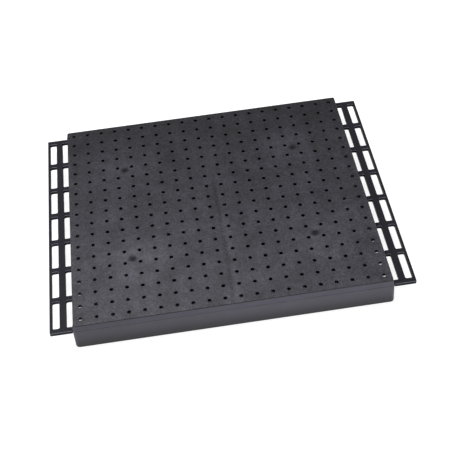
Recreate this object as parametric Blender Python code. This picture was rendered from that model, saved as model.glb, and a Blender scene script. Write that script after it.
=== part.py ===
"""Perforated shelf deck for a gondola fixture.

A raised perforated deck stands on a front and a rear skirt. A low step wall on each side carries the
deck's edge and joins it to a slotted wing. Under the deck, long ribs from skirt to skirt and cross
ribs between the step walls form a grid, half-lapped where they cross.

Axes: +X is to the right, -Y is the front, +Z is up. The origin is on the floor, under the middle.
"""
import math

import bmesh
import bpy

# Overall sizes, in metres.
DECK_WIDTH = 0.508
DECK_DEPTH = 0.4572
STAND_HEIGHT = 0.0508

# Deck panel. Its upper lip covers the walls' top edges, and the body below the lip fits between them.
PANEL_THICK = 0.0038
LIP_THICK = 0.0012
HOLE_PITCH = 0.0254
HOLE_DIAMETER = 0.00635
HOLE_SIDES = 6
CORNER_RADIUS = 0.0035
CORNER_STEPS = 4

# Shallow round marks where the plastic was fed in.
GATE_DIAMETER = 0.0114
GATE_DEPTH = 0.0006
GATE_SIDES = 16
GATE_X = 0.1524
GATE_Y = 0.1067

# Skirts. The face slopes out to a shoulder, drops almost straight to the foot, and turns a short way
# round each corner. A reach is how far the face stands out from the deck's edge.
SKIRT_WALL = 0.003
SHOULDER_DROP = 0.011
SHOULDER_REACH = 0.0026
FOOT_REACH = 0.0037
SKIRT_RETURN = 0.008

# Step walls.
STEP_WALL = 0.003

# Wings. The slots are laid out from the rim inwards.
WING_DROP = 0.0133
WING_THICK = 0.0063
WING_SETBACK = 0.0019
WING_RIM = 0.0044
WING_RAIL = 0.0108
WING_LEDGE = 0.0003
SLOT_WIDTH = 0.0116
SLOT_PITCH = 0.0635
SLOT_BAR = 0.0089
SLOT_COLUMNS = 2
SLOT_RADIUS = 0.0025
SLOT_STEPS = 3

# Ribs. A long rib is midway between two hole columns, with a deeper gusset at each end, and a cross
# rib is midway between two hole rows. The counts say after how many columns or rows one stands.
RIB_THICK = 0.0025
RIB_HEIGHT = 0.0125
COLUMNS_PER_RIB = 2
ROWS_PER_RIB = 1
GUSSET_LENGTH = 0.03
GUSSET_FOOT = 0.006
GUSSET_CLEAR = 0.012

# Clearance between pieces that meet, how far a cutter runs past what it cuts, and the least
# radius that an inner corner may shrink to.
GAP = 0.0003
OVERRUN = 0.002
SMALLEST_RADIUS = 0.0004

# Levels, worked out from the sizes above.
LIP_UNDER = STAND_HEIGHT - LIP_THICK
PANEL_UNDER = STAND_HEIGHT - PANEL_THICK
WALL_TOP = LIP_UNDER - GAP
SHOULDER = STAND_HEIGHT - SHOULDER_DROP
WING_TOP = STAND_HEIGHT - WING_DROP
WING_UNDER = WING_TOP - WING_THICK
RIB_TOP = PANEL_UNDER - GAP
RIB_UNDER = RIB_TOP - RIB_HEIGHT
LAP = (RIB_TOP + RIB_UNDER) / 2
HALF_WIDTH = DECK_WIDTH / 2
HALF_DEPTH = DECK_DEPTH / 2
WING_REACH = WING_LEDGE + SLOT_COLUMNS * SLOT_WIDTH + (SLOT_COLUMNS - 1) * WING_RAIL + WING_RIM

# Colours of the plastic, as linear red, green and blue.
DECK_COLOUR = (0.060, 0.060, 0.064)
SKIRT_COLOUR = (0.080, 0.076, 0.090)
WING_COLOUR = (0.028, 0.029, 0.034)


def clear_scene():
    for thing in list(bpy.data.objects):
        bpy.data.objects.remove(thing, do_unlink=True)


def plastic(name, colour, roughness):
    material = bpy.data.materials.new(name)
    material.use_nodes = True
    shader = material.node_tree.nodes["Principled BSDF"]
    shader.inputs["Base Color"].default_value = (*colour, 1.0)
    shader.inputs["Roughness"].default_value = roughness
    shader.inputs["Metallic"].default_value = 0.0
    return material


def reach_at(height):
    """How far a skirt's face stands out from the deck's edge at this height."""
    if height > SHOULDER:
        return SHOULDER_REACH * (WALL_TOP - height) / (WALL_TOP - SHOULDER)
    return SHOULDER_REACH + (FOOT_REACH - SHOULDER_REACH) * (1 - height / SHOULDER)


def arc(x, y, radius, start, end, steps):
    """Points on an arc round (x, y), from one angle to another in degrees."""
    angles = [math.radians(start + (end - start) * i / steps) for i in range(steps + 1)]
    return [(x + radius * math.cos(angle), y + radius * math.sin(angle)) for angle in angles]


def rounded_box(x_low, x_high, y_low, y_high, radius, steps):
    """Outline of a rectangle with round corners, counter-clockwise seen from above."""
    left, right = x_low + radius, x_high - radius
    front, back = y_low + radius, y_high - radius
    return (arc(right, back, radius, 0, 90, steps) + arc(left, back, radius, 90, 180, steps)
            + arc(left, front, radius, 180, 270, steps) + arc(right, front, radius, 270, 360, steps))


def polygon_of_circle(x, y, diameter, sides):
    """A regular polygon with the same area as the circle it stands for."""
    radius = diameter / 2 * math.sqrt(2 * math.pi / sides / math.sin(2 * math.pi / sides))
    return arc(x, y, radius, 0, 360 - 360 / sides, sides - 1)


def add_solid(mesh, sections):
    """A closed solid through level outlines that have the same number of points, lowest first."""
    rings = [[mesh.verts.new((x, y, z)) for x, y in outline] for outline, z in sections]
    mesh.faces.new(reversed(rings[0]))
    mesh.faces.new(rings[-1])
    for low, high in zip(rings, rings[1:]):
        for i in range(len(low)):
            mesh.faces.new((low[i - 1], low[i], high[i], high[i - 1]))


def make_object(name, mesh, material=None):
    bmesh.ops.recalc_face_normals(mesh, faces=mesh.faces)
    data = bpy.data.meshes.new(name)
    mesh.to_mesh(data)
    mesh.free()
    thing = bpy.data.objects.new(name, data)
    bpy.context.collection.objects.link(thing)
    if material:
        data.materials.append(material)
    return thing


def cut(thing, cutter):
    cutter.hide_render = True
    cutter.display_type = "WIRE"
    boolean = thing.modifiers.new("cut", "BOOLEAN")
    boolean.operation = "DIFFERENCE"
    boolean.solver = "EXACT"
    boolean.object = cutter


def centred_places(length, pitch):
    """Middles of the whole pitches that fit in a length, centred on zero."""
    count = int(length / pitch + 0.001)
    return [(i - (count - 1) / 2) * pitch for i in range(count)]


def make_deck_cutter():
    """The holes, and the shallow round marks between them."""
    mesh = bmesh.new()
    for x in centred_places(DECK_WIDTH, HOLE_PITCH):
        for y in centred_places(DECK_DEPTH, HOLE_PITCH):
            outline = polygon_of_circle(x, y, HOLE_DIAMETER, HOLE_SIDES)
            add_solid(mesh, [(outline, PANEL_UNDER - OVERRUN), (outline, STAND_HEIGHT + OVERRUN)])
    for x in (-GATE_X, GATE_X):
        for y in (-GATE_Y, GATE_Y):
            outline = polygon_of_circle(x, y, GATE_DIAMETER, GATE_SIDES)
            add_solid(mesh, [(outline, STAND_HEIGHT - GATE_DEPTH), (outline, STAND_HEIGHT + OVERRUN)])
    return make_object("deck_cutter", mesh)


def make_deck_panel(material):
    lip = rounded_box(-HALF_WIDTH, HALF_WIDTH, -HALF_DEPTH, HALF_DEPTH, CORNER_RADIUS, CORNER_STEPS)
    x = HALF_WIDTH - max(STEP_WALL, SKIRT_WALL) - GAP
    y = HALF_DEPTH - SKIRT_WALL - GAP
    body = rounded_box(-x, x, -y, y, max(CORNER_RADIUS - SKIRT_WALL, SMALLEST_RADIUS), CORNER_STEPS)
    mesh = bmesh.new()
    add_solid(mesh, [(body, PANEL_UNDER), (body, LIP_UNDER), (lip, LIP_UNDER), (lip, STAND_HEIGHT)])
    deck = make_object("deck_panel", mesh, material)
    cut(deck, make_deck_cutter())


def skirt_outline(mirror, height):
    """A wall along the deck's front edge and round its two corners, or mirrored to the rear."""
    reach = reach_at(height)
    x, y = HALF_WIDTH + reach, HALF_DEPTH + reach
    end = HALF_DEPTH - SKIRT_RETURN
    outer = CORNER_RADIUS + reach
    inner = max(outer - SKIRT_WALL, SMALLEST_RADIUS)
    inner_x, inner_y = x - SKIRT_WALL, y - SKIRT_WALL
    points = [(-x, -end)]
    points += arc(outer - x, outer - y, outer, 180, 270, CORNER_STEPS)
    points += arc(x - outer, outer - y, outer, 270, 360, CORNER_STEPS)
    points += [(x, -end), (inner_x, -end)]
    points += arc(inner_x - inner, inner - inner_y, inner, 360, 270, CORNER_STEPS)
    points += arc(inner - inner_x, inner - inner_y, inner, 270, 180, CORNER_STEPS)
    points += [(-inner_x, -end)]
    return [(x, mirror * y) for x, y in points]


def make_skirt(name, mirror, material):
    """The mirror is 1 for the front skirt and -1 for the rear one."""
    mesh = bmesh.new()
    add_solid(mesh, [(skirt_outline(mirror, height), height) for height in (0, SHOULDER, WALL_TOP)])
    make_object(name, mesh, material)


def make_step_wall(name, side, material):
    """The low wall that stands on the wing's inner rail and carries the deck's edge."""
    y = HALF_DEPTH - SKIRT_RETURN - GAP
    low, high = sorted((side * (HALF_WIDTH - STEP_WALL), side * HALF_WIDTH))
    outline = [(low, -y), (high, -y), (high, y), (low, y)]
    mesh = bmesh.new()
    add_solid(mesh, [(outline, WING_TOP + GAP), (outline, WALL_TOP)])
    make_object(name, mesh, material)


def make_wing_cutter(name, side, wing_depth):
    """Two columns of long slots, laid out from the rim inwards."""
    mesh = bmesh.new()
    for column in range(SLOT_COLUMNS):
        outer = HALF_WIDTH + WING_REACH - WING_RIM - column * (SLOT_WIDTH + WING_RAIL)
        low, high = sorted((side * (outer - SLOT_WIDTH), side * outer))
        for y in centred_places(wing_depth - SLOT_BAR, SLOT_PITCH):
            half = (SLOT_PITCH - SLOT_BAR) / 2
            outline = rounded_box(low, high, y - half, y + half, SLOT_RADIUS, SLOT_STEPS)
            add_solid(mesh, [(outline, WING_UNDER - OVERRUN), (outline, WING_TOP + OVERRUN)])
    return make_object(name, mesh)


def make_wing(name, side, material):
    """A flat grid whose inner rail runs under the step wall, clear of the skirts' ends."""
    rim = HALF_WIDTH + WING_REACH
    beside_skirt = HALF_WIDTH + reach_at(WING_UNDER) + GAP
    rail = HALF_WIDTH - STEP_WALL
    end = HALF_DEPTH - WING_SETBACK
    notch = HALF_DEPTH - SKIRT_RETURN - GAP
    outline = [(beside_skirt, -end), (rim, -end), (rim, end), (beside_skirt, end),
               (beside_skirt, notch), (rail, notch), (rail, -notch), (beside_skirt, -notch)]
    outline = [(side * x, y) for x, y in outline]
    mesh = bmesh.new()
    add_solid(mesh, [(outline, WING_UNDER), (outline, WING_TOP)])
    wing = make_object(name, mesh, material)
    cut(wing, make_wing_cutter(name + "_cutter", side, 2 * end))


def rib_profile():
    """Half of a long rib's side view, as (distance from the middle, height), top to bottom."""
    def by_skirt(height):
        return HALF_DEPTH + reach_at(height) - SKIRT_WALL - GAP, height

    foot, _ = by_skirt(GUSSET_CLEAR)
    return [by_skirt(RIB_TOP), by_skirt(SHOULDER), by_skirt(GUSSET_CLEAR),
            (foot - GUSSET_FOOT, GUSSET_CLEAR), (foot - GUSSET_LENGTH, RIB_UNDER)]


def places_between(length, every):
    """Places midway between neighbouring holes, after every so many holes."""
    holes = centred_places(length, HOLE_PITCH)
    return [place + HOLE_PITCH / 2 for place in holes[:-1]][every - 1::every]


def make_notch_cutter(name, boxes):
    """Boxes, each given as its low and high corner."""
    mesh = bmesh.new()
    for (x_low, y_low, z_low), (x_high, y_high, z_high) in boxes:
        outline = [(x_low, y_low), (x_high, y_low), (x_high, y_high), (x_low, y_high)]
        add_solid(mesh, [(outline, z_low), (outline, z_high)])
    return make_object(name, mesh)


def make_long_ribs(material):
    """Ribs from skirt to skirt, notched from below where a cross rib passes."""
    half = rib_profile()
    profile = [(-y, z) for y, z in half] + [(y, z) for y, z in reversed(half)]
    notch = RIB_THICK / 2 + GAP
    notches = make_notch_cutter("long_rib_notches", [
        ((-HALF_WIDTH, y - notch, 0), (HALF_WIDTH, y + notch, LAP + GAP / 2))
        for y in places_between(DECK_DEPTH, ROWS_PER_RIB)])
    for number, x in enumerate(places_between(DECK_WIDTH, COLUMNS_PER_RIB), start=1):
        mesh = bmesh.new()
        near = [mesh.verts.new((x - RIB_THICK / 2, y, z)) for y, z in profile]
        face = mesh.faces.new(near)
        drawn = bmesh.ops.extrude_face_region(mesh, geom=[face])
        far = [item for item in drawn["geom"] if isinstance(item, bmesh.types.BMVert)]
        bmesh.ops.translate(mesh, verts=far, vec=(RIB_THICK, 0, 0))
        cut(make_object(f"long_rib_{number}", mesh, material), notches)


def make_cross_ribs(material):
    """Ribs from step wall to step wall, notched from above where a long rib passes."""
    notch = RIB_THICK / 2 + GAP
    end = HALF_WIDTH - STEP_WALL - GAP
    notches = make_notch_cutter("cross_rib_notches", [
        ((x - notch, -HALF_DEPTH, LAP - GAP / 2), (x + notch, HALF_DEPTH, RIB_TOP + OVERRUN))
        for x in places_between(DECK_WIDTH, COLUMNS_PER_RIB)])
    for number, y in enumerate(places_between(DECK_DEPTH, ROWS_PER_RIB), start=1):
        low, high = y - RIB_THICK / 2, y + RIB_THICK / 2
        outline = [(-end, low), (end, low), (end, high), (-end, high)]
        mesh = bmesh.new()
        add_solid(mesh, [(outline, RIB_UNDER), (outline, RIB_TOP)])
        cut(make_object(f"cross_rib_{number}", mesh, material), notches)


def main():
    clear_scene()
    deck = plastic("grained black plastic", DECK_COLOUR, 0.62)
    skirt = plastic("satin black plastic", SKIRT_COLOUR, 0.4)
    wing = plastic("smooth black plastic", WING_COLOUR, 0.48)
    make_deck_panel(deck)
    make_skirt("front_skirt", 1, skirt)
    make_skirt("rear_skirt", -1, skirt)
    for name, side in (("left", -1), ("right", 1)):
        make_step_wall(name + "_step_wall", side, wing)
        make_wing(name + "_wing", side, wing)
    make_long_ribs(deck)
    make_cross_ribs(deck)


main()
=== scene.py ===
"""A perforated shelf deck of black moulded plastic, standing on a pale studio floor."""
import math

import bmesh
import bpy
from mathutils import Matrix, Vector


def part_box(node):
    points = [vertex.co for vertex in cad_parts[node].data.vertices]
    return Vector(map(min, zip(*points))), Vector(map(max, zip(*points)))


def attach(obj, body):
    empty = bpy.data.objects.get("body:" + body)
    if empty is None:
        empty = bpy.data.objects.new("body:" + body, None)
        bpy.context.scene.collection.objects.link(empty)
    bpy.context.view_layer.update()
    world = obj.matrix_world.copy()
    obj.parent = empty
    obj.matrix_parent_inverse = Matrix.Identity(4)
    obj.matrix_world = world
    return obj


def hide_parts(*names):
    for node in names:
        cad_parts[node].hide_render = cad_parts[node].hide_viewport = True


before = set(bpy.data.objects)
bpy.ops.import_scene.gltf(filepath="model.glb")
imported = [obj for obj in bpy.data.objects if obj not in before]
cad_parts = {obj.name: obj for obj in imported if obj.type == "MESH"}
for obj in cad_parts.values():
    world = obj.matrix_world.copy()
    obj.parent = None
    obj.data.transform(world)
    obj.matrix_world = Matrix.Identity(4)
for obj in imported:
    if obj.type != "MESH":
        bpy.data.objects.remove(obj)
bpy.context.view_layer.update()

# Sizes are in metres. These come from the frame.
deck_low, deck_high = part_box("deck_panel")
_, skirt_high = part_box("front_skirt")
wall_low, wall_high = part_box("right_step_wall")
wing_low, wing_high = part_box("right_wing")

TOP = deck_high.z
PANEL_UNDER = deck_low.z
HALF_WIDTH = deck_high.x
HALF_DEPTH = deck_high.y

# The hole grid.
PITCH = 0.0254
COLUMNS = round(2 * HALF_WIDTH / PITCH)
ROWS = round(2 * HALF_DEPTH / PITCH)
HOLE_RADIUS = 0.003175
HOLE_SIDES = 24
HOLE_ROUNDING = 0.00035

# The clearance between pieces.
GAP = 0.0003

# The deck's lip, which covers the walls, and its edges.
LIP_THICK = 0.0012
CORNER_RADIUS = 0.0035
CORNER_STEPS = 6
SMALLEST_RADIUS = 0.0002
EDGE_ROUNDING = 0.0005
EDGE_STEPS = 3
BORDER = 0.004

# Marks where the plastic was fed in: a wide shallow dish with a small pit in it.
GATE_X = 6 * PITCH
GATE_Y = 4.2 * PITCH
DISH_RADIUS = 0.0104
DISH_DEPTH = 0.00035
PIT_RADIUS = 0.0052
PIT_DEPTH = 0.0005
DISH_STEPS = 18
DISH_SIDES = 40

# The dish cutter's underside ends a hair above the deck, and its top stands this far above.
CUTTER_LIFT = 0.00002
CUTTER_RISE = 0.001

# Points closer than this are one point.
MERGE_DISTANCE = 0.00001

# Edges that turn by more than this stay sharp, and large flat faces lead the shading.
SHARP_DEGREES = 35.0
FLAT_FACE_WEIGHT = 80


# ---------------------------------------------------------------- meshes

def add_object(name, mesh):
    """Put a bmesh into the scene as an object."""
    data = bpy.data.meshes.new(name)
    mesh.to_mesh(data)
    mesh.free()
    thing = bpy.data.objects.new(name, data)
    bpy.context.scene.collection.objects.link(thing)
    return thing


def shade(thing, sharp_degrees=SHARP_DEGREES):
    thing.data.shade_smooth()
    thing.data.set_sharp_from_angle(angle=math.radians(sharp_degrees))
    weighted = thing.modifiers.new("flat faces lead", "WEIGHTED_NORMAL")
    weighted.keep_sharp = True
    weighted.weight = FLAT_FACE_WEIGHT


def finish_mesh(name, mesh, material, sharp_degrees=SHARP_DEGREES):
    """Turn a bmesh into a smooth-shaded object whose large flat faces stay flat."""
    bmesh.ops.recalc_face_normals(mesh, faces=mesh.faces)
    thing = add_object(name, mesh)
    thing.data.materials.append(material)
    shade(thing, sharp_degrees)
    return thing


def stand_for(piece, slot, *nodes):
    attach(piece, "root")
    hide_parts(*nodes)


def arc(x, y, radius, start, end, steps):
    """Points on an arc round (x, y), from one angle to another in degrees."""
    angles = [math.radians(start + (end - start) * i / steps) for i in range(steps + 1)]
    return [(x + radius * math.cos(angle), y + radius * math.sin(angle)) for angle in angles]


def circle(x, y, radius, sides):
    """Points round a full circle, the first of them not repeated."""
    return arc(x, y, radius, 0, 360 - 360 / sides, sides - 1)


def rounding(radius, steps=EDGE_STEPS):
    """A rounded edge as (inset, drop) pairs, from the flat face over to the side."""
    pairs = []
    for step in range(steps + 1):
        turn = math.pi / 2 * step / steps
        pairs.append((radius * (1 - math.sin(turn)), radius * (1 - math.cos(turn))))
    return pairs


def new_ring(mesh, points, z):
    return [mesh.verts.new((x, y, z)) for x, y in points]


def join_rings(mesh, rings):
    """A band of faces between each ring and the next."""
    for first, second in zip(rings, rings[1:]):
        for i in range(len(first)):
            mesh.faces.new((first[i - 1], first[i], second[i], second[i - 1]))


# ---------------------------------------------------------------- deck

def inside_border(x, y):
    """The point itself, or the nearest one to it that isn't on the deck's border."""
    reach_x, reach_y = HALF_WIDTH - BORDER, HALF_DEPTH - BORDER
    return max(-reach_x, min(reach_x, x)), max(-reach_y, min(reach_y, y))


def cell_points(centre_x, centre_y):
    """Points round the square that one hole sits in, one for each side of the hole."""
    points = []
    for i in range(HOLE_SIDES):
        angle = 2 * math.pi * i / HOLE_SIDES
        far = PITCH / 2 / max(abs(math.cos(angle)), abs(math.sin(angle)))
        points.append(inside_border(centre_x + far * math.cos(angle), centre_y + far * math.sin(angle)))
    return points


def add_hole(mesh, x, y):
    """One square of the deck, top and bottom, with a round hole whose upper rim is eased."""
    square = cell_points(x, y)
    rings = [new_ring(mesh, square, TOP)]
    for inset, drop in rounding(HOLE_ROUNDING):
        rings.append(new_ring(mesh, circle(x, y, HOLE_RADIUS + inset, HOLE_SIDES), TOP - drop))
    rings.append(new_ring(mesh, circle(x, y, HOLE_RADIUS, HOLE_SIDES), PANEL_UNDER))
    rings.append(new_ring(mesh, square, PANEL_UNDER))
    join_rings(mesh, rings)


def places_along(count, half_length):
    """Where the outer squares' points fall along one side of the deck, without its two ends."""
    half_steps = HOLE_SIDES // 8  # from the middle of a square's side to its corner
    angles = [2 * math.pi * i / HOLE_SIDES for i in range(1 - half_steps, half_steps)]
    offsets = [-PITCH / 2] + [PITCH / 2 * math.tan(angle) for angle in angles]
    places = [(i + 0.5) * PITCH - half_length + offset for i in range(count) for offset in offsets]
    return places[1:]


def border_points(inset):
    """The deck's outline, moved in by an inset, matched one to one with the squares' outer points."""
    side_x = HALF_WIDTH - inset
    side_y = HALF_DEPTH - inset
    radius = max(CORNER_RADIUS - inset, SMALLEST_RADIUS)
    along_x = places_along(COLUMNS, HALF_WIDTH)
    along_y = places_along(ROWS, HALF_DEPTH)
    corner_x = side_x - radius
    corner_y = side_y - radius
    points = [(x, -side_y) for x in along_x]
    points += arc(corner_x, -corner_y, radius, 270, 360, CORNER_STEPS)
    points += [(side_x, y) for y in along_y]
    points += arc(corner_x, corner_y, radius, 0, 90, CORNER_STEPS)
    points += [(x, side_y) for x in reversed(along_x)]
    points += arc(-corner_x, corner_y, radius, 90, 180, CORNER_STEPS)
    points += [(-side_x, y) for y in reversed(along_y)]
    points += arc(-corner_x, -corner_y, radius, 180, 270, CORNER_STEPS)
    return points


def add_border(mesh):
    """From the outermost squares over the rounded edge, round the lip and back underneath."""
    inner = [inside_border(x, y) for x, y in border_points(0)]
    rings = [new_ring(mesh, inner, TOP)]
    for inset, drop in rounding(EDGE_ROUNDING):
        rings.append(new_ring(mesh, border_points(inset), TOP - drop))
    under_lip = TOP - LIP_THICK
    body_inset = HALF_WIDTH - wall_low.x + GAP
    rings.append(new_ring(mesh, border_points(0), under_lip))
    rings.append(new_ring(mesh, border_points(body_inset), under_lip))
    rings.append(new_ring(mesh, border_points(body_inset), PANEL_UNDER))
    rings.append(new_ring(mesh, inner, PANEL_UNDER))
    join_rings(mesh, rings)


def dish_depth(distance):
    """Depth of a gate mark at a distance from its middle: a pit inside a shallow dish."""
    def bowl(radius, depth):
        if distance >= radius:
            return 0.0
        return depth * (0.5 + 0.5 * math.cos(math.pi * distance / radius))

    return bowl(DISH_RADIUS, DISH_DEPTH) + bowl(PIT_RADIUS, PIT_DEPTH)


def make_dish_cutter():
    """Turned solids whose undersides are the gate marks' surfaces."""
    mesh = bmesh.new()
    for x in (-GATE_X, GATE_X):
        for y in (-GATE_Y, GATE_Y):
            middle = mesh.verts.new((x, y, TOP - dish_depth(0)))
            rings = []
            for step in range(1, DISH_STEPS + 1):
                share = step / DISH_STEPS
                distance = DISH_RADIUS * share
                height = TOP - dish_depth(distance) + CUTTER_LIFT * share
                rings.append(new_ring(mesh, circle(x, y, distance, DISH_SIDES), height))
            rings.append(new_ring(mesh, circle(x, y, DISH_RADIUS, DISH_SIDES), TOP + CUTTER_RISE))
            for i in range(DISH_SIDES):
                mesh.faces.new((middle, rings[0][i - 1], rings[0][i]))
            join_rings(mesh, rings)
            mesh.faces.new(rings[-1])
    bmesh.ops.recalc_face_normals(mesh, faces=mesh.faces)
    return add_object("dish_cutter", mesh)


def apply_cut(thing, cutter):
    """Cut one mesh by another for good, and remove the cutter."""
    boolean = thing.modifiers.new("cut", "BOOLEAN")
    boolean.operation = "DIFFERENCE"
    boolean.solver = "EXACT"
    boolean.object = cutter
    graph = bpy.context.evaluated_depsgraph_get()
    result = bpy.data.meshes.new_from_object(thing.evaluated_get(graph), depsgraph=graph)
    thing.modifiers.clear()
    thing.data = result
    bpy.data.objects.remove(cutter)


def make_deck(material):
    mesh = bmesh.new()
    for column in range(COLUMNS):
        for row in range(ROWS):
            add_hole(mesh, (column + 0.5) * PITCH - HALF_WIDTH, (row + 0.5) * PITCH - HALF_DEPTH)
    add_border(mesh)
    bmesh.ops.remove_doubles(mesh, verts=mesh.verts, dist=MERGE_DISTANCE)
    bmesh.ops.recalc_face_normals(mesh, faces=mesh.faces)
    deck = add_object("deck", mesh)
    deck.data.materials.append(material)
    apply_cut(deck, make_dish_cutter())
    shade(deck)
    stand_for(deck, "grained_plastic", "deck_panel")


# ---------------------------------------------------------------- flat plates

# The lower edges are this much crisper than the upper ones.
UNDER_EASING = 0.25
PATH_CORNER_STEPS = 6


def fill_flat(mesh, rings):
    """Close a flat face that may have holes in it."""
    edges = []
    for ring in rings:
        for i in range(len(ring)):
            ends = (ring[i - 1], ring[i])
            edges.append(mesh.edges.get(ends) or mesh.edges.new(ends))
    bmesh.ops.triangle_fill(mesh, edges=edges, use_beauty=True)


def square_path(corners, inset):
    """A path with square corners rounded by each corner's radius, then moved in by an inset.

    Corners are (x, y, radius), counter-clockwise seen from above."""
    points = []
    for i, (x, y, radius) in enumerate(corners):
        here = Vector((x, y))
        before = (here - Vector(corners[i - 1][:2])).normalized()
        after = (Vector(corners[(i + 1) % len(corners)][:2]) - here).normalized()
        turn = 1 if before.cross(after) > 0 else -1
        centre = here - before * radius + after * radius
        for step in range(PATH_CORNER_STEPS + 1):
            angle = math.pi / 2 * step / PATH_CORNER_STEPS
            direction = before * math.sin(angle) - after * math.cos(angle)
            points.append(tuple(centre + direction * (radius - inset * turn)))
    return points


def plate(name, outline, holes, low, high, easing, material):
    """A flat plate with rounded upper edges and crisper lower ones, from corner lists."""
    mesh = bmesh.new()
    top_rings = []
    low_rings = []
    for corners, side in [(outline, 1)] + [(hole, -1) for hole in holes]:
        rings = []
        for inset, drop in rounding(easing):
            rings.append(new_ring(mesh, square_path(corners, side * inset), high - drop))
        for inset, rise in reversed(rounding(easing * UNDER_EASING)):
            rings.append(new_ring(mesh, square_path(corners, side * inset), low + rise))
        join_rings(mesh, rings)
        top_rings.append(rings[0])
        low_rings.append(rings[-1])
    fill_flat(mesh, top_rings)
    fill_flat(mesh, low_rings)
    return finish_mesh(name, mesh, material)


def box_corners(x_low, x_high, y_low, y_high, radius):
    return [(x_low, y_low, radius), (x_high, y_low, radius),
            (x_high, y_high, radius), (x_low, y_high, radius)]


# ---------------------------------------------------------------- wings

RIM = 0.0044
RAIL = 0.0108
SLOT_WIDTH = 0.0116
SLOT_PITCH = 0.0635
SLOT_BAR = 0.0089
SLOT_COUNT = 7
SLOT_COLUMNS = 2
SLOT_RADIUS = 0.0025
WING_EASING = 0.0007
RIM_CORNER = 0.0016
SMALL_CORNER = 0.0006
STEP_CORNER = 0.0005
STEP_EASING = 0.0003


def make_wing(side_name, side, material):
    """One slotted wing, and the step wall that stands on its inner rail."""
    rim, inner = wing_high.x, wing_low.x
    end, notch = wing_high.y, wall_high.y
    beside_skirt = HALF_WIDTH + reach_at(wing_low.z) + GAP
    outline = [(beside_skirt, -end, SMALL_CORNER), (rim, -end, RIM_CORNER),
               (rim, end, RIM_CORNER), (beside_skirt, end, SMALL_CORNER),
               (beside_skirt, notch, SMALL_CORNER), (inner, notch, SMALL_CORNER),
               (inner, -notch, SMALL_CORNER), (beside_skirt, -notch, SMALL_CORNER)]
    holes = []
    half = (SLOT_PITCH - SLOT_BAR) / 2
    for column in range(SLOT_COLUMNS):
        outer = rim - RIM - column * (SLOT_WIDTH + RAIL)
        for i in range(SLOT_COUNT):
            y = (i - (SLOT_COUNT - 1) / 2) * SLOT_PITCH
            holes.append(box_corners(outer - SLOT_WIDTH, outer, y - half, y + half, SLOT_RADIUS))
    if side < 0:
        outline = [(-x, y, radius) for x, y, radius in reversed(outline)]
        holes = [[(-x, y, radius) for x, y, radius in reversed(hole)] for hole in holes]
    name = side_name + "_wing"
    grid = plate(name + "_grid", outline, holes, wing_low.z, wing_high.z, WING_EASING, material)
    stand_for(grid, "smooth_plastic", name)

    x_low, x_high = sorted((side * wall_low.x, side * wall_high.x))
    corners = box_corners(x_low, x_high, -notch, notch, STEP_CORNER)
    step = plate(side_name + "_step", corners, [], wall_low.z, wall_high.z, STEP_EASING, material)
    stand_for(step, "smooth_plastic", side_name + "_step_wall")


# ---------------------------------------------------------------- skirts

# A reach is how far the face stands out from the deck's edge. A shallow line runs along the shoulder.
SKIRT_WALL = 0.003
SKIRT_TOP = skirt_high.z
SKIRT_END = -skirt_high.y
SHOULDER_DROP = 0.011
SHOULDER = TOP - SHOULDER_DROP
SHOULDER_REACH = 0.0026
FOOT_REACH = skirt_high.x - deck_high.x
LINE_DEPTH = 0.0005
LINE_HALF = 0.0011
LINE_STEPS = 4
LOW_ROUNDING = 0.0011
TOP_ROUNDING = 0.0005
SKIRT_CORNER_STEPS = 8
SKIRT_SHARP_DEGREES = 50.0


def reach_at(z):
    if z > SHOULDER:
        return SHOULDER_REACH * (SKIRT_TOP - z) / (SKIRT_TOP - SHOULDER)
    return SHOULDER_REACH + (FOOT_REACH - SHOULDER_REACH) * (1 - z / SHOULDER)


def line_depth(z):
    away = min(abs(z - SHOULDER) / LINE_HALF, 1)
    return LINE_DEPTH * (0.5 + 0.5 * math.cos(math.pi * away))


def skirt_levels():
    """Heights, and how far the face is set in there, from the rounded foot to the top edge."""
    levels = [(rise, inset) for inset, rise in rounding(LOW_ROUNDING, EDGE_STEPS + 1)]
    levels += [(SHOULDER + LINE_HALF * i / LINE_STEPS, 0) for i in range(-LINE_STEPS, LINE_STEPS + 1)]
    levels += [(SKIRT_TOP - drop, inset) for inset, drop in reversed(rounding(TOP_ROUNDING))]
    return levels


def skirt_outline(z, inset, mirror):
    """The wall along one edge and round its two corners, as a closed path."""
    plain = reach_at(z)
    out = plain - line_depth(z) - inset
    x, y = HALF_WIDTH + out, HALF_DEPTH + out
    end = SKIRT_END
    outer = CORNER_RADIUS + out
    inner = max(CORNER_RADIUS + plain - SKIRT_WALL, SMALL_CORNER)
    inner_x = HALF_WIDTH + plain - SKIRT_WALL + inset
    inner_y = HALF_DEPTH + plain - SKIRT_WALL + inset
    steps = SKIRT_CORNER_STEPS
    points = [(-x, -end)]
    points += arc(outer - x, outer - y, outer, 180, 270, steps)
    points += arc(x - outer, outer - y, outer, 270, 360, steps)
    points += [(x, -end), (inner_x, -end)]
    points += arc(inner_x - inner, inner - inner_y, inner, 360, 270, steps)
    points += arc(inner - inner_x, inner - inner_y, inner, 270, 180, steps)
    points += [(-inner_x, -end)]
    return [(x, mirror * y) for x, y in points]


def make_skirt(name, mirror, material):
    mesh = bmesh.new()
    rings = [new_ring(mesh, skirt_outline(z, inset, mirror), z) for z, inset in skirt_levels()]
    join_rings(mesh, rings)
    mesh.faces.new(rings[0])
    mesh.faces.new(rings[-1])
    piece = finish_mesh(name + "_face", mesh, material, SKIRT_SHARP_DEGREES)
    stand_for(piece, "satin_plastic", name)


# ---------------------------------------------------------------- ribs

RIB_EASING = 0.0004
RIB_EASING_STEPS = 2
FLAT_DEGREES = 1


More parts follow.
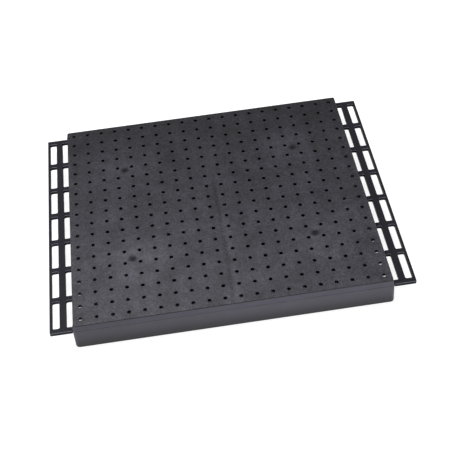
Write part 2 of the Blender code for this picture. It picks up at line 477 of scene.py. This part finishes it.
def make_ribs(material):
    """The frame's long and cross ribs with their edges eased."""
    for name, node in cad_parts.items():
        if "_rib_" not in name:
            continue
        mesh = bmesh.new()
        mesh.from_mesh(node.data)
        bmesh.ops.remove_doubles(mesh, verts=mesh.verts, dist=MERGE_DISTANCE)
        bmesh.ops.dissolve_limit(mesh, angle_limit=math.radians(FLAT_DEGREES),
                                 verts=mesh.verts, edges=mesh.edges)
        bmesh.ops.bevel(mesh, geom=mesh.edges, offset=RIB_EASING, segments=RIB_EASING_STEPS,
                        profile=0.5, affect="EDGES")
        piece = finish_mesh(name + "_web", mesh, material)
        stand_for(piece, "grained_plastic", name)


# ---------------------------------------------------------------- shader nodes

# Most of a noise lies between these two values.
NOISE_LOW, NOISE_HIGH = 0.3, 0.7

# How far a normal points up on a face that counts as upright, and on one that counts as level.
UPRIGHT_BELOW, LEVEL_ABOVE = 0.03, 0.2

WHITE = (1, 1, 1, 1)


def add_node(tree, kind, sockets, **settings):
    """A shader node whose sockets take values or other nodes' outputs."""
    made = tree.nodes.new(kind)
    for name, value in settings.items():
        setattr(made, name, value)
    for socket, value in sockets.items():
        if isinstance(value, bpy.types.NodeSocket):
            tree.links.new(value, made.inputs[socket])
        else:
            made.inputs[socket].default_value = value
    return made


def sum_of(tree, *terms):
    total = terms[0]
    for term in terms[1:]:
        total = add_node(tree, "ShaderNodeMath", {0: total, 1: term}, operation="ADD").outputs[0]
    return total


def product_of(tree, *factors):
    result = factors[0]
    for factor in factors[1:]:
        result = add_node(tree, "ShaderNodeMath", {0: result, 1: factor}, operation="MULTIPLY").outputs[0]
    return result


def absolute(tree, value):
    return add_node(tree, "ShaderNodeMath", {0: value}, operation="ABSOLUTE").outputs[0]


def split(tree, vector):
    """A vector's X, Y and Z."""
    return add_node(tree, "ShaderNodeSeparateXYZ", {0: vector}).outputs


def stretched(tree, where, factors):
    return add_node(tree, "ShaderNodeVectorMath", {0: where, 1: factors}, operation="MULTIPLY").outputs[0]


def ramp(tree, value, start, end, low, high, smooth=True):
    """Map a value from one range to another and hold it at the ends."""
    kind = "SMOOTHSTEP" if smooth else "LINEAR"
    mapped = add_node(tree, "ShaderNodeMapRange",
                      {0: value, 1: start, 2: end, 3: low, 4: high}, interpolation_type=kind)
    return mapped.outputs[0]


def noise(tree, where, scale, low=0.0, high=1.0, detail=2, roughness=0.5):
    """Noise with a scale in bumps a metre, spread between two values."""
    grain = add_node(tree, "ShaderNodeTexNoise",
                     {"Vector": where, "Scale": scale, "Detail": detail, "Roughness": roughness})
    return ramp(tree, grain.outputs["Fac"], NOISE_LOW, NOISE_HIGH, low, high, smooth=False)


def new_material(name, specular):
    """An empty material, with the node tree, shader and places that its look is built from."""
    material = bpy.data.materials.new(name)
    material.use_nodes = True
    tree = material.node_tree
    shader = tree.nodes["Principled BSDF"]
    shader.inputs["Specular IOR Level"].default_value = specular
    where = add_node(tree, "ShaderNodeTexCoord", {}).outputs["Object"]
    return material, tree, shader, where


def set_colour(tree, shader, colour, brightness):
    """The base colour is one hue, made lighter or darker over the surface."""
    scaled = add_node(tree, "ShaderNodeVectorMath", {0: colour, "Scale": brightness}, operation="SCALE")
    tree.links.new(scaled.outputs["Vector"], shader.inputs["Base Color"])


def set_bump(tree, shader, *layers):
    """Bump from layers of (height, distance in metres)."""
    normal = None
    for height, distance in layers:
        sockets = {"Height": height, "Distance": distance, "Strength": 1.0}
        if normal:
            sockets["Normal"] = normal
        normal = add_node(tree, "ShaderNodeBump", sockets).outputs["Normal"]
    tree.links.new(normal, shader.inputs["Normal"])


def painted_upright_shade(tree, shade_there):
    """Painted shade on upright faces, and 1 on level faces."""
    normal = add_node(tree, "ShaderNodeNewGeometry", {}).outputs["Normal"]
    up = absolute(tree, split(tree, normal)["Z"])
    return ramp(tree, up, UPRIGHT_BELOW, LEVEL_ABOVE, shade_there, 1.0)


# ---------------------------------------------------------------- the deck's plastic

# Colours are linear red, green and blue. A shade multiplies the colour, and a light is added to its
# brightness, so a negative one is dark. Near is where a mark is at its full strength, and far is where
# it ends.
DECK_COLOUR = (0.0330, 0.0315, 0.0398)
DECK_SPECULAR = 0.3
DECK_ROUGHNESS = 0.42
DECK_ROUGHNESS_SPREAD = 0.04
DECK_ROUGHNESS_SCALE = 38
# Painted shade on the deck's upright faces: the edge of its lip and the walls of its holes.
PAINTED_LIP_SHADE = 0.1
# Painted light and shade: the deck is painted darker towards the back and lighter towards the front, and a
# little lighter on the left than on the right.
PAINTED_BACK_SHADE, PAINTED_FRONT_LIGHT = 0.64, 1.4
PAINTED_FRONT_LIGHT_FROM = -0.75 * HALF_DEPTH
PAINTED_LEFT_LIGHT, PAINTED_RIGHT_SHADE = 1.04, 0.95

GRAIN_SCALE, PORE_SCALE = 520, 1500
GRAIN_CONTRAST = 1.3
GRAIN_ROUGHNESS = 0.05
GRAIN_HEIGHT, PORE_HEIGHT = 0.00007, 0.00002
BLOTCH_SCALE, MOTTLE_SCALE = 30, 150
BLOTCH_LOW, BLOTCH_HIGH = 0.74, 1.25
MOTTLE_LOW, MOTTLE_HIGH = 0.84, 1.16

HALO_LIGHT = 0.45
HALO_NEAR, HALO_FAR = 0.006, 3.2 * PITCH
HALO_SCALE = 55
HALO_LOW, HALO_HIGH = 0.6, 1.2
HALO_ROUGHNESS = -0.03
# The gate dishes are painted darker towards their middles: painted shade in the recess.
GATE_PAINTED_SHADE = -1.15
GATE_NEAR, GATE_FAR = 0.002, 0.0115
GATE_ROUGHNESS = -0.45

# The weld line is dark with a paler line beside it, and fades towards the back. The dark line and the paler
# one are a painted shade and a painted highlight, as on a slight ridge.
WELD_PAINTED_SHADE, WELD_NEAR, WELD_FAR = -0.3, 0.001, 0.005
BESIDE_WELD = 0.4 * PITCH
BESIDE_PAINTED_HIGHLIGHT, BESIDE_NEAR, BESIDE_FAR = 0.22, 0.002, 0.008
WELD_WANDER, WELD_WANDER_SCALE = 0.0015, 14
WELD_FADE_START, WELD_FADE_END = 0.04, 0.09
WELD_LEFT_OVER = 0.15

# Faint streaks run from front to back, paler between the columns of holes.
STREAK_LIGHT = 0.05

# The deck is shared out among small cells. Those whose random number is nearly 1 hold a speck of dust.
DUST_LIGHT = 3.0
DUST_SCALE = 70.0
DUST_NEAR, DUST_FAR = 0.03, 0.05
DUST_CHOSEN_FROM, DUST_CHOSEN_AT = 0.975, 0.98


def gate_distance(tree, place):
    """Distance from the nearest gate mark, measured along the deck."""
    flat = add_node(tree, "ShaderNodeCombineXYZ",
                    {"X": absolute(tree, place["X"]), "Y": absolute(tree, place["Y"])}).outputs[0]
    away = add_node(tree, "ShaderNodeVectorMath", {0: flat, 1: (GATE_X, GATE_Y, 0)}, operation="DISTANCE")
    return away.outputs["Value"]


def weld_line_painted_ridge_shade(tree, where, place):
    """A wandering line down the middle of the deck, where two flows of plastic met, painted as the shade
    and highlight of a slight ridge.
    """
    wander = noise(tree, where, WELD_WANDER_SCALE, -WELD_WANDER, WELD_WANDER, detail=1)
    from_line = sum_of(tree, place["X"], wander)
    from_beside = sum_of(tree, from_line, -BESIDE_WELD)
    dark = ramp(tree, absolute(tree, from_line), WELD_NEAR, WELD_FAR, WELD_PAINTED_SHADE, 0.0)
    pale = ramp(tree, absolute(tree, from_beside), BESIDE_NEAR, BESIDE_FAR, BESIDE_PAINTED_HIGHLIGHT, 0.0)
    fade = ramp(tree, place["Y"], WELD_FADE_START, WELD_FADE_END, 1.0, WELD_LEFT_OVER)
    return product_of(tree, sum_of(tree, dark, pale), fade)


def streaks(tree, place):
    turns = product_of(tree, place["X"], 2 * math.pi / PITCH)
    wave = add_node(tree, "ShaderNodeMath", {0: turns}, operation="COSINE").outputs[0]
    return product_of(tree, wave, STREAK_LIGHT)


def dust(tree, where):
    cells = add_node(tree, "ShaderNodeTexVoronoi",
                     {"Vector": where, "Scale": DUST_SCALE, "Randomness": 1.0})
    number = add_node(tree, "ShaderNodeSeparateColor", {0: cells.outputs["Color"]}).outputs[0]
    chosen = ramp(tree, number, DUST_CHOSEN_FROM, DUST_CHOSEN_AT, 0.0, DUST_LIGHT)
    return product_of(tree, ramp(tree, cells.outputs["Distance"], DUST_NEAR, DUST_FAR, 1.0, 0.0), chosen)


def grained_plastic(name):
    """Fine-grained black plastic, paler round the gates, with a weld line and a few specks of dust. Painted
    shade lies in the gate dishes, on upright faces and towards the back and right, and painted light
    towards the front.
    """
    material, tree, shader, where = new_material(name, DECK_SPECULAR)
    place = split(tree, where)
    grain = noise(tree, where, GRAIN_SCALE, detail=3, roughness=0.6)
    pores = noise(tree, where, PORE_SCALE)
    from_gate = gate_distance(tree, place)
    # Painted shade in the gate dish and pit.
    gate = ramp(tree, from_gate, GATE_NEAR, GATE_FAR, GATE_PAINTED_SHADE, 0.0)
    halo = ramp(tree, from_gate, HALO_NEAR, HALO_FAR, 1.0, 0.0)
    broken_halo = product_of(tree, halo, noise(tree, where, HALO_SCALE, HALO_LOW, HALO_HIGH), HALO_LIGHT)
    brightness = sum_of(tree, product_of(tree, grain, GRAIN_CONTRAST), 1 - GRAIN_CONTRAST / 2, gate,
                        broken_halo, weld_line_painted_ridge_shade(tree, where, place), streaks(tree, place), dust(tree, where))
    blotches = noise(tree, where, BLOTCH_SCALE, BLOTCH_LOW, BLOTCH_HIGH, detail=3)
    mottle = noise(tree, where, MOTTLE_SCALE, MOTTLE_LOW, MOTTLE_HIGH)
    # Painted shade towards the back and right, and painted light towards the front and left.
    along = ramp(tree, place["Y"], HALF_DEPTH, PAINTED_FRONT_LIGHT_FROM, PAINTED_BACK_SHADE, PAINTED_FRONT_LIGHT, smooth=False)
    across = ramp(tree, place["X"], -HALF_WIDTH, HALF_WIDTH, PAINTED_LEFT_LIGHT, PAINTED_RIGHT_SHADE, smooth=False)
    # Painted shade on the upright faces.
    lip = painted_upright_shade(tree, PAINTED_LIP_SHADE)
    set_colour(tree, shader, DECK_COLOUR,
               product_of(tree, brightness, blotches, mottle, along, across, lip))
    clouds = noise(tree, where, DECK_ROUGHNESS_SCALE, DECK_ROUGHNESS - DECK_ROUGHNESS_SPREAD,
                   DECK_ROUGHNESS + DECK_ROUGHNESS_SPREAD, detail=3)
    rough = sum_of(tree, clouds, product_of(tree, halo, HALO_ROUGHNESS),
                   product_of(tree, grain, GRAIN_ROUGHNESS), product_of(tree, gate, GATE_ROUGHNESS))
    tree.links.new(rough, shader.inputs["Roughness"])
    set_bump(tree, shader, (grain, GRAIN_HEIGHT), (pores, PORE_HEIGHT))
    return material


# ---------------------------------------------------------------- the skirts' plastic

SKIRT_COLOUR = (0.060, 0.057, 0.0765)
SKIRT_SPECULAR = 0.3
SKIRT_ROUGHNESS = 0.28
# Painted shade towards the foot, for the shadowed floor that the face reflects there.
PAINTED_FOOT_SHADE, PAINTED_FOOT_SHADE_TO = 0.3, 0.034
# Painted light on the band above the shoulder, whose tilted face catches more light.
PAINTED_SHOULDER_LIGHT, PAINTED_SHOULDER_LIGHT_HALF = 1.3, 0.001
# Painted shade towards the left end of the skirt.
PAINTED_SKIRT_LEFT_SHADE, PAINTED_SKIRT_LEFT_SHADE_TO = 0.75, 0.1
# Painted shadow along the skirt's top, under the deck's lip.
PAINTED_LIP_SHADOW, LIP_SHADOW_NEAR, LIP_SHADOW_FAR = 0.2, 0.0002, 0.001

SCUFF_STRETCH = (1, 1, 12)
SCUFF_SCALE = 70
SCUFF_CONTRAST = 0.12
SCUFF_ROUGHNESS = 0.08
SCUFF_HEIGHT = 0.00003
CLOUD_SCALE = 22
CLOUD_LOW, CLOUD_HIGH = 0.93, 1.07
CLOUD_ROUGHNESS = 0.1
SATIN_GRAIN_SCALE = 700
SATIN_GRAIN_CONTRAST = 0.06
SATIN_GRAIN_HEIGHT = 0.00001
SATIN_BASE = 0.91


def satin_plastic(name):
    """Smooth black plastic with faint level scuffs, with painted shade towards the foot and on the left, a
    painted lighter band above the shoulder and a painted shadow along its top under the deck's lip.
    """
    material, tree, shader, where = new_material(name, SKIRT_SPECULAR)
    place = split(tree, where)
    scuffs = noise(tree, stretched(tree, where, SCUFF_STRETCH), SCUFF_SCALE, detail=4, roughness=0.6)
    clouds = noise(tree, where, CLOUD_SCALE, CLOUD_LOW, CLOUD_HIGH)
    grain = noise(tree, where, SATIN_GRAIN_SCALE)
    brightness = sum_of(tree, product_of(tree, scuffs, SCUFF_CONTRAST),
                        product_of(tree, grain, SATIN_GRAIN_CONTRAST), SATIN_BASE)
    # Painted shade towards the foot.
    foot = ramp(tree, place["Z"], 0.0, PAINTED_FOOT_SHADE_TO, PAINTED_FOOT_SHADE, 1.0)
    # Painted light: the band above the shoulder is painted lighter.
    shoulder = ramp(tree, place["Z"], SHOULDER - PAINTED_SHOULDER_LIGHT_HALF, SHOULDER + PAINTED_SHOULDER_LIGHT_HALF,
                    1.0, PAINTED_SHOULDER_LIGHT)
    # Painted shade: the face is painted darker towards the left.
    across = ramp(tree, place["X"], -HALF_WIDTH, PAINTED_SKIRT_LEFT_SHADE_TO, PAINTED_SKIRT_LEFT_SHADE, 1.0)
    # Painted shadow along the top, under the deck's lip.
    painted_lip_shadow = ramp(tree, place["Z"], SKIRT_TOP - LIP_SHADOW_FAR, SKIRT_TOP - LIP_SHADOW_NEAR, 1.0, PAINTED_LIP_SHADOW)
    set_colour(tree, shader, SKIRT_COLOUR,
               product_of(tree, brightness, foot, shoulder, across, painted_lip_shadow, clouds))
    rough = sum_of(tree, product_of(tree, scuffs, SCUFF_ROUGHNESS),
                   product_of(tree, clouds, CLOUD_ROUGHNESS), SKIRT_ROUGHNESS)
    tree.links.new(rough, shader.inputs["Roughness"])
    set_bump(tree, shader, (scuffs, SCUFF_HEIGHT), (grain, SATIN_GRAIN_HEIGHT))
    return material


# ---------------------------------------------------------------- the wings' and ribs' plastic

WING_COLOUR = (0.0168, 0.0168, 0.0228)
# The ribs' colour is the wings' plastic made darker: painted shade beneath the deck.
RIB_PAINTED_SHADE_COLOUR = (0.005, 0.005, 0.006)
WING_SPECULAR = 0.12
WING_ROUGHNESS = 0.36
# Painted shade on the wings' upright faces.
PAINTED_SIDE_SHADE = 0.35

FLOW_STRETCH = (5, 1, 5)
FLOW_SCALE = 30
FLOW_CONTRAST = 0.22
FLOW_ROUGHNESS = 0.08
FLOW_HEIGHT = 0.00004
BARE_GRAIN_SCALE = 800
BARE_GRAIN_CONTRAST = 0.06
BARE_GRAIN_ROUGHNESS = 0.04
BARE_GRAIN_HEIGHT = 0.00001
BARE_BASE = 0.86

# Edges are told from flat faces by how far their normals point up, and how far along the deck's depth.
# A painted highlight on the upper rounded edges that face front or back.
PAINTED_EDGE_HIGHLIGHT = 12.0
EDGE_UP_START, EDGE_UP_FULL = 0.1, 0.4
EDGE_UP_LESS, EDGE_UP_END = 0.8, 0.98
EDGE_DEPTH_START, EDGE_DEPTH_FULL = 0.1, 0.3


def painted_edge_highlight(tree):
    """A painted highlight on the upper rounded edges that run from side to side."""
    facing = split(tree, add_node(tree, "ShaderNodeNewGeometry", {}).outputs["Normal"])
    not_upright = ramp(tree, facing["Z"], EDGE_UP_START, EDGE_UP_FULL, 0.0, PAINTED_EDGE_HIGHLIGHT)
    not_level = ramp(tree, facing["Z"], EDGE_UP_LESS, EDGE_UP_END, 1.0, 0.0)
    not_sideways = ramp(tree, absolute(tree, facing["Y"]), EDGE_DEPTH_START, EDGE_DEPTH_FULL, 0.0, 1.0)
    return product_of(tree, not_upright, not_level, not_sideways)


def smooth_plastic(name, colour):
    """Bare moulded plastic, a little bluer, with soft flow marks along its length, painted shade on its
    upright sides and a painted highlight on its upper edges.
    """
    material, tree, shader, where = new_material(name, WING_SPECULAR)
    flow = noise(tree, stretched(tree, where, FLOW_STRETCH), FLOW_SCALE, detail=3)
    grain = noise(tree, where, BARE_GRAIN_SCALE)
    brightness = sum_of(tree, product_of(tree, flow, FLOW_CONTRAST), BARE_BASE,
                        product_of(tree, grain, BARE_GRAIN_CONTRAST), painted_edge_highlight(tree))
    # Painted shade on upright faces and a painted highlight on the upper edges.
    set_colour(tree, shader, colour, product_of(tree, brightness, painted_upright_shade(tree, PAINTED_SIDE_SHADE)))
    rough = sum_of(tree, product_of(tree, flow, FLOW_ROUGHNESS),
                   product_of(tree, grain, BARE_GRAIN_ROUGHNESS), WING_ROUGHNESS)
    tree.links.new(rough, shader.inputs["Roughness"])
    set_bump(tree, shader, (flow, FLOW_HEIGHT), (grain, BARE_GRAIN_HEIGHT))
    return material


# ---------------------------------------------------------------- floor and light

# The floor's glow is masked out beneath the deck, starting a little inside its edge, which paints a shadow
# under the deck.
FLOOR_HALF = 15.0
FLOOR_SEGMENTS = 4
FLOOR_COLOUR = (0.5, 0.5, 0.5)
FLOOR_ROUGHNESS = 0.9
FLOOR_SCALE = 3
FLOOR_LOW, FLOOR_HIGH = 0.98, 1.0
FLOOR_GLOW = 0.8
GLOW_START, GLOW_FULL = -0.012, 0.006

LEFT_SURROUND, RIGHT_SURROUND = 0.5, 0.2
BOX_PLACE = (-0.2, 0.15, 1.35)
BOX_SIZE = 0.9
BOX_WATTS = 14
FILL_PLACE = (-0.5, -2.2, 1.2)
FILL_SIZE = 1.2
FILL_WATTS = 12


def make_floor():
    """A pale table that glows softly round the object, so that it stays even, with a painted shadow beneath
    it where the glow is masked out.
    """
    material, tree, shader, where = new_material("studio floor", 0.0)
    shader.inputs["Roughness"].default_value = FLOOR_ROUGHNESS
    set_colour(tree, shader, FLOOR_COLOUR, noise(tree, where, FLOOR_SCALE, FLOOR_LOW, FLOOR_HIGH))
    shader.inputs["Emission Color"].default_value = WHITE
    place = split(tree, where)
    past_side = sum_of(tree, absolute(tree, place["X"]), -HALF_WIDTH)
    past_end = sum_of(tree, absolute(tree, place["Y"]), -HALF_DEPTH)
    outside = add_node(tree, "ShaderNodeMath", {0: past_side, 1: past_end}, operation="MAXIMUM").outputs[0]
    # Painted shadow: no glow beneath the deck.
    glow_round_painted_shadow = ramp(tree, outside, GLOW_START, GLOW_FULL, 0.0, FLOOR_GLOW)
    tree.links.new(glow_round_painted_shadow, shader.inputs["Emission Strength"])
    mesh = bmesh.new()
    bmesh.ops.create_grid(mesh, x_segments=FLOOR_SEGMENTS, y_segments=FLOOR_SEGMENTS, size=FLOOR_HALF)
    floor = add_object("floor", mesh)
    floor.location.z = -GAP
    floor.data.materials.append(material)


def area_light(name, place, size, watts):
    """A square light that points at the middle of the floor."""
    light = bpy.data.lights.new(name, "AREA")
    light.shape = "SQUARE"
    light.size = size
    light.energy = watts
    thing = bpy.data.objects.new(name, light)
    thing.location = place
    thing.rotation_mode = "QUATERNION"
    thing.rotation_quaternion = (-Vector(place)).to_track_quat("-Z", "Y")
    bpy.context.scene.collection.objects.link(thing)


def make_light():
    """A pale surround that is dimmer to the right, a soft box overhead and a weak fill from the front."""
    world = bpy.data.worlds.new("studio")
    world.use_nodes = True
    tree = world.node_tree
    background = tree.nodes["Background"]
    background.inputs["Color"].default_value = WHITE
    across = split(tree, add_node(tree, "ShaderNodeTexCoord", {}).outputs["Generated"])["X"]
    strength = ramp(tree, across, -1.0, 1.0, LEFT_SURROUND, RIGHT_SURROUND, smooth=False)
    tree.links.new(strength, background.inputs["Strength"])
    bpy.context.scene.world = world
    area_light("overhead", BOX_PLACE, BOX_SIZE, BOX_WATTS)
    area_light("front", FILL_PLACE, FILL_SIZE, FILL_WATTS)


# ---------------------------------------------------------------- camera

# In metres from the middle of the deck's top, degrees and, for the lens, millimetres. The camera looks
# down on the deck from the front, a little from the left, and is tipped a few degrees.
CAMERA_PLACE = (-0.0592, -1.1575, 1.1767)
CAMERA_AZIMUTH = 3.856
CAMERA_ELEVATION = 47.282
CAMERA_ROLL = -5.235
CAMERA_LENS = 74.877
CAMERA_SENSOR = 36


def make_camera():
    data = bpy.data.cameras.new("camera")
    data.sensor_width = CAMERA_SENSOR
    data.lens = CAMERA_LENS
    camera = bpy.data.objects.new("camera", data)
    azimuth, elevation = math.radians(CAMERA_AZIMUTH), math.radians(CAMERA_ELEVATION)
    forward = Vector((math.sin(azimuth) * math.cos(elevation), math.cos(azimuth) * math.cos(elevation),
                      -math.sin(elevation)))
    level = forward.cross(Vector((0, 0, 1))).normalized()
    upright = level.cross(forward)
    roll = math.radians(CAMERA_ROLL)
    right = level * math.cos(roll) + upright * math.sin(roll)
    up = right.cross(forward)
    turn = Matrix((right, up, -forward)).transposed().to_4x4()
    camera.matrix_world = Matrix.Translation(Vector(CAMERA_PLACE) + Vector((0, 0, TOP))) @ turn
    bpy.context.scene.collection.objects.link(camera)
    bpy.context.scene.camera = camera


bpy.context.scene.view_settings.view_transform = "Standard"
make_camera()
make_floor()
make_light()
deck_plastic = grained_plastic("grained black plastic")
skirt_plastic = satin_plastic("satin black plastic")
wing_plastic = smooth_plastic("smooth black plastic", WING_COLOUR)
# A darker copy of the same plastic for the ribs, painted shade beneath the deck.
rib_plastic_in_painted_shade = smooth_plastic("unlit black plastic", RIB_PAINTED_SHADE_COLOUR)
make_deck(deck_plastic)
for name, mirror in (("front_skirt", 1), ("rear_skirt", -1)):
    make_skirt(name, mirror, skirt_plastic)
for name, side in (("left", -1), ("right", 1)):
    make_wing(name, side, wing_plastic)
make_ribs(rib_plastic_in_painted_shade)
